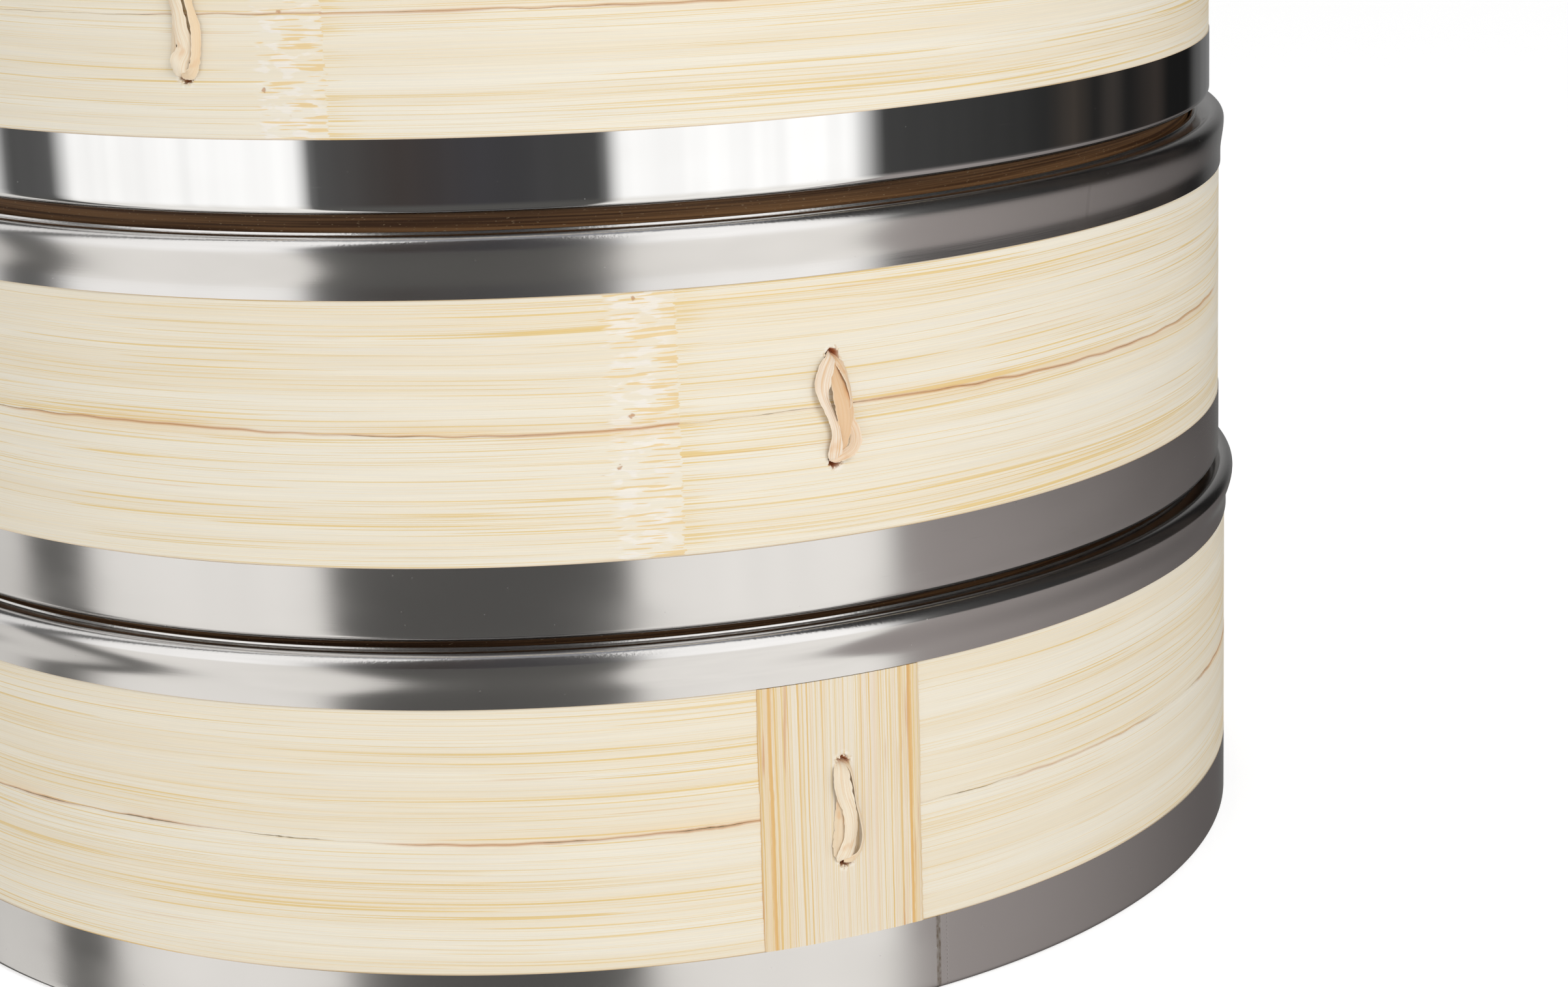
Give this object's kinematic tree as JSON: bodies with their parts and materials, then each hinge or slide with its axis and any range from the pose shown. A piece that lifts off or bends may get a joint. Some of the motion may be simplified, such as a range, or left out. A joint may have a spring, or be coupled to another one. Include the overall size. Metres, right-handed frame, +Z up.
{
  "type": "bamboo steamer",
  "caption": "Round stacking food steamer with bent bamboo walls, steel rim and base bands, raffia stitches, slatted floors and a domed woven lid.",
  "frame": {"origin": "centre of the lower tier's base, on the surface it stands on", "axes": "+Z up along the axis of the round tiers, the joint strip and stitches of the lower tier face -Y, to the right of the front"},
  "size_m": [0.2529, 0.2528, 0.1942],
  "materials": {
    "bamboo_wall": "pale sanded bamboo, grain along the hoop",
    "bamboo_strip": "pale bamboo with golden upright grain",
    "bamboo_inner": "raw split bamboo",
    "bamboo_slats": "raw split bamboo",
    "woven_bamboo": "woven bamboo splints",
    "raffia": "twisted raffia ribbon",
    "satin_steel": "satin stainless steel",
    "polished_steel": "polished stainless steel"
  },
  "bodies": {
    "lower_tier": {"lower_wall_bottom_strip": "bamboo_wall", "lower_wall_top_strip": "bamboo_wall", "lower_joint_strip": "bamboo_strip", "lower_inner_hoop": "bamboo_inner", "lower_floor_hoop": "bamboo_inner", "lower_floor_bars": "bamboo_slats", "lower_floor_slats": "bamboo_slats", "lower_base_band": "satin_steel", "lower_rim_band": "satin_steel", "lower_stitches": "raffia"},
    "upper_tier": {"upper_wall_bottom_strip": "bamboo_wall", "upper_wall_top_strip": "bamboo_wall", "upper_joint_strip": "bamboo_strip", "upper_inner_hoop": "bamboo_inner", "upper_floor_hoop": "bamboo_inner", "upper_floor_bars": "bamboo_slats", "upper_floor_slats": "bamboo_slats", "upper_base_band": "satin_steel", "upper_rim_band": "satin_steel", "upper_stitches": "raffia"},
    "lid": {"lid_wall_bottom_strip": "bamboo_wall", "lid_wall_top_strip": "bamboo_wall", "lid_joint_strip": "bamboo_strip", "lid_inner_hoop": "bamboo_inner", "lid_ribs": "bamboo_slats", "lid_weave_inner": "woven_bamboo", "lid_weave_outer": "woven_bamboo", "lid_top_ring": "bamboo_inner", "lid_base_band": "polished_steel", "lid_stitches": "raffia"}
  },
  "joints": [
    {"name": "upper_tier_lift", "type": "slide", "parent": "lower_tier", "child": "upper_tier", "axis": [0, 0, 1], "range_m": [0, 0.12]},
    {"name": "lid_lift", "type": "slide", "parent": "upper_tier", "child": "lid", "axis": [0, 0, 1], "range_m": [0, 0.12]}
  ]
}
